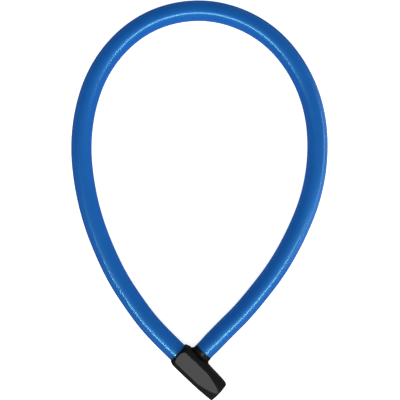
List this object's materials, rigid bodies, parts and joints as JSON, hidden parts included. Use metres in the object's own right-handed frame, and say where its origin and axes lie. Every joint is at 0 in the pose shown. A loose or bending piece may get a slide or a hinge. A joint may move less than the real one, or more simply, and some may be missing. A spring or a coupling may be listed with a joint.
{
  "type": "cable lock",
  "caption": "Keyed cable lock: a vinyl sleeved wire rope loop whose bolt end plugs crosswise into a small moulded lock head.",
  "frame": {"origin": "on the head's flat back face, under the crossing of the head's long axis and the bolt's axis", "axes": "+Z out of the head's front face; the loop extends from the head along +Y; the head's long axis lies 43.6 degrees below +X"},
  "size_m": [0.1541, 0.2387, 0.017],
  "materials": {
    "cable_sleeve": "smooth semi-gloss extruded vinyl",
    "rope_steel": "twisted bright wire",
    "casing": "fine satin moulded plastic",
    "bezel_steel": "brushed",
    "zinc": "as cast zinc alloy",
    "pressed_steel": "pressed sheet",
    "fastener_steel": "zinc plated",
    "plug_brass": "turned",
    "wafer_brass": "stamped",
    "spring_steel": "drawn wire",
    "bolt_steel": "plated and polished",
    "seal_rubber": "moulded"
  },
  "bodies": {
    "head": {"cable_jacket": "cable_sleeve", "wire_rope_core": "rope_steel", "front_shell": "casing", "back_shell": "casing", "keyhole_bezel": "bezel_steel", "lock_housing": "zinc", "housing_cover": "pressed_steel", "cover_screws": "fastener_steel", "plug_retaining_pin": "fastener_steel", "latch_spring": "spring_steel", "anchor_ferrule": "zinc", "anchor_roll_pin": "spring_steel"},
    "bolt": {"bolt_pin": "bolt_steel", "bolt_collar": "casing", "bolt_seal_ring": "seal_rubber"},
    "cylinder": {"cylinder_plug": "plug_brass", "cam_pin": "fastener_steel", "wafers": "wafer_brass", "wafer_springs": "spring_steel"},
    "latch": {"latch": "pressed_steel"}
  },
  "joints": [
    {"name": "bolt_slide", "type": "slide", "parent": "head", "child": "bolt", "axis": [0.6896, 0.7242, 0], "range_m": [0, 0.02], "deforming": ["cable_jacket", "wire_rope_core"]},
    {"name": "cylinder_turn", "type": "hinge", "parent": "head", "child": "cylinder", "pos_m": [0, 0, 0.0085], "axis": [0.7242, -0.6896, 0], "range_deg": [0, 90]},
    {"name": "latch_slide", "type": "slide", "parent": "head", "child": "latch", "axis": [0, 0, -1], "range_m": [0, 0.0012], "deforming": ["latch_spring"]}
  ],
  "couplings": [
    {"joint": "cylinder_turn", "follows": "latch_slide", "rad_per_m": 1309}
  ]
}
